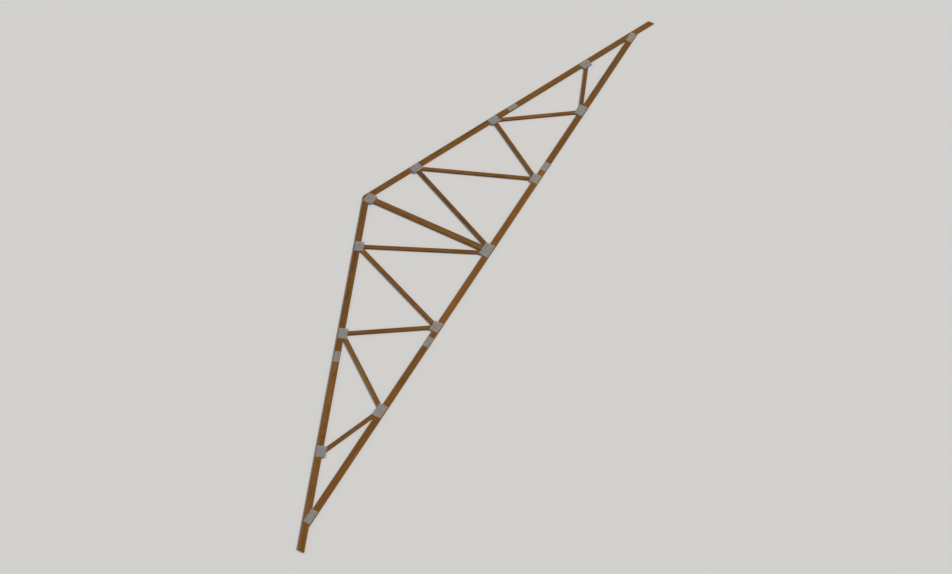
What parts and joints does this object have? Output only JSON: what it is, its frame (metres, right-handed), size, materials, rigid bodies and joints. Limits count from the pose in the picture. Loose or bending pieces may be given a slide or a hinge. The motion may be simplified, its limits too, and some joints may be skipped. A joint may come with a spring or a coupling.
{
  "type": "wooden roof truss",
  "caption": "Gable roof truss of planed lumber with a king post, zigzag webs, overhanging tails and toothed steel plates over its joints.",
  "frame": {"origin": "mid-span, half-way between the tails' lowest corners and the peak, on the face the truss lies on", "axes": "+X along the span towards the right-hand tail, +Y from the bottom chord up to the peak, +Z out of the upper face"},
  "size_m": [16.256, 3.5384, 0.04],
  "materials": {
    "timber": "planed softwood, brown treated",
    "plate_steel": "galvanised"
  },
  "bodies": {
    "root": {"bottom_chord_middle": "timber", "bottom_chord_left": "timber", "bottom_chord_right": "timber", "top_chord_upper_left": "timber", "top_chord_upper_right": "timber", "top_chord_lower_left": "timber", "top_chord_lower_right": "timber", "king_post": "timber", "web_1_left": "timber", "web_1_right": "timber", "web_2_left": "timber", "web_2_right": "timber", "web_3_left": "timber", "web_3_right": "timber", "web_4_left": "timber", "web_4_right": "timber", "web_5_left": "timber", "web_5_right": "timber", "king_plate_front": "plate_steel", "king_plate_back": "plate_steel", "peak_plate_front": "plate_steel", "peak_plate_back": "plate_steel", "heel_plate_front_left": "plate_steel", "heel_plate_front_right": "plate_steel", "heel_plate_back_left": "plate_steel", "heel_plate_back_right": "plate_steel", "top_plate_outer_front_left": "plate_steel", "top_plate_outer_front_right": "plate_steel", "top_plate_outer_back_left": "plate_steel", "top_plate_outer_back_right": "plate_steel", "top_splice_plate_front_left": "plate_steel", "top_splice_plate_front_right": "plate_steel", "top_splice_plate_back_left": "plate_steel", "top_splice_plate_back_right": "plate_steel", "top_plate_middle_front_left": "plate_steel", "top_plate_middle_front_right": "plate_steel", "top_plate_middle_back_left": "plate_steel", "top_plate_middle_back_right": "plate_steel", "top_plate_inner_front_left": "plate_steel", "top_plate_inner_front_right": "plate_steel", "top_plate_inner_back_left": "plate_steel", "top_plate_inner_back_right": "plate_steel", "bottom_plate_outer_front_left": "plate_steel", "bottom_plate_outer_front_right": "plate_steel", "bottom_plate_outer_back_left": "plate_steel", "bottom_plate_outer_back_right": "plate_steel", "bottom_splice_plate_front_left": "plate_steel", "bottom_splice_plate_front_right": "plate_steel", "bottom_splice_plate_back_left": "plate_steel", "bottom_splice_plate_back_right": "plate_steel", "bottom_plate_inner_front_left": "plate_steel", "bottom_plate_inner_front_right": "plate_steel", "bottom_plate_inner_back_left": "plate_steel", "bottom_plate_inner_back_right": "plate_steel"}
  },
  "joints": []
}
